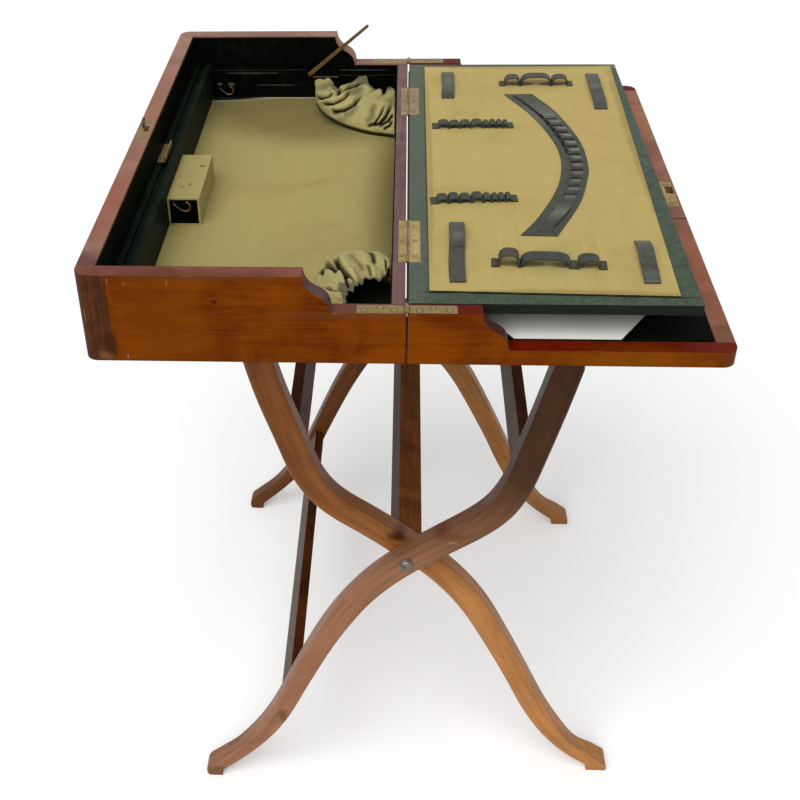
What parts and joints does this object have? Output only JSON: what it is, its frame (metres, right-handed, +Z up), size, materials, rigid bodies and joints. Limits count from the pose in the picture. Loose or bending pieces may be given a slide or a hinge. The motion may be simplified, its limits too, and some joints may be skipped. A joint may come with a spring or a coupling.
{
  "type": "folding campaign desk",
  "caption": "Portable writing desk: hinged mahogany box with deep well, blotter tray and looped leather flap, resting on a folding stand with S-curved crossed legs.",
  "frame": {"origin": "on the floor under the middle of the open box", "axes": "+X to the right from the well to the tray, +Y from front to back, +Z up"},
  "size_m": [0.58, 0.6256, 0.7908],
  "materials": {
    "mahogany": "french polished, worn",
    "black_leather": "dull, scuffed",
    "green_black_leather": "dull, scuffed",
    "olive_cloth": "glazed cloth, faded",
    "olive_silk": "ruched silk, soft sheen",
    "blotting_paper": "matt",
    "aged_brass": "tarnished",
    "rusty_iron": "rusty",
    "dark_steel": "darkened"
  },
  "bodies": {
    "stand_outer": {"outer_leg_front": "mahogany", "outer_leg_back": "mahogany", "outer_upper_bar": "mahogany", "outer_lower_bar": "mahogany", "pivot_bolts": "dark_steel", "pivot_washers": "dark_steel"},
    "stand_inner": {"inner_leg_front": "mahogany", "inner_leg_back": "mahogany", "inner_upper_bar": "mahogany", "centre_bar": "mahogany"},
    "well": {"well_front_board": "mahogany", "well_back_board": "mahogany", "well_end_board": "mahogany", "hinge_rail": "mahogany", "well_bottom": "mahogany", "well_bearer": "mahogany", "side_linings": "black_leather", "end_lining": "black_leather", "rail_lining": "black_leather", "well_floor_cloth": "olive_cloth", "pen_ledge": "black_leather", "small_case": "olive_cloth", "small_case_front": "black_leather", "wire_hooks": "aged_brass", "ledge_catch": "aged_brass", "lock_plate": "aged_brass", "lock_hook": "rusty_iron", "stay_pin": "aged_brass", "stay_bracket": "aged_brass", "back_corner_pocket": "olive_silk", "front_corner_pocket": "olive_silk", "strap_leaves_well": "aged_brass", "strap_pins": "aged_brass", "butt_leaves_rail": "aged_brass", "butt_pins": "aged_brass", "well_screws": "aged_brass"},
    "tray": {"tray_front_board": "mahogany", "tray_back_board": "mahogany", "tray_end_board": "mahogany", "tray_inner_board": "mahogany", "tray_bottom": "mahogany", "tray_bearer": "mahogany", "blotter_board": "green_black_leather", "blotter_paper": "blotting_paper", "blotter_corners": "black_leather", "strike_plate": "aged_brass", "strap_leaves_tray": "aged_brass", "tray_screws": "aged_brass"},
    "flap": {"flap_board": "green_black_leather", "flap_panel": "olive_cloth", "flap_straps": "black_leather", "crescent_holder": "black_leather", "back_long_loops": "black_leather", "front_long_loops": "black_leather", "back_triple_loops": "black_leather", "front_triple_loops": "black_leather", "butt_leaves_flap": "aged_brass", "flap_screws": "aged_brass"},
    "stay": {"stay_arm": "aged_brass"}
  },
  "joints": [
    {"name": "box_lift", "type": "slide", "parent": "stand_outer", "child": "well", "axis": [0, 0, 1], "range_m": [0, 0.168]},
    {"name": "stand_fold", "type": "hinge", "parent": "stand_outer", "child": "stand_inner", "pos_m": [0.0035, 0, 0.374], "axis": [0, 1, 0], "range_deg": [0, 48.2]},
    {"name": "tray_fold", "type": "hinge", "parent": "well", "child": "tray", "pos_m": [0, 0, 0.7402], "axis": [0, -1, 0], "range_deg": [0, 180]},
    {"name": "flap_hinge", "type": "hinge", "parent": "well", "child": "flap", "pos_m": [0, 0, 0.7402], "axis": [0, -1, 0], "range_deg": [0, 180]},
    {"name": "stay_pivot", "type": "hinge", "parent": "well", "child": "stay", "pos_m": [-0.126, 0.2907, 0.727], "axis": [0, 1, 0], "range_deg": [0, 40]}
  ],
  "couplings": [
    {"joint": "stand_fold", "follows": "box_lift", "rad_per_m": 5},
    {"joint": "flap_hinge", "follows": "tray_fold", "ratio": 1},
    {"joint": "stay_pivot", "follows": "tray_fold", "ratio": 0.2222}
  ]
}
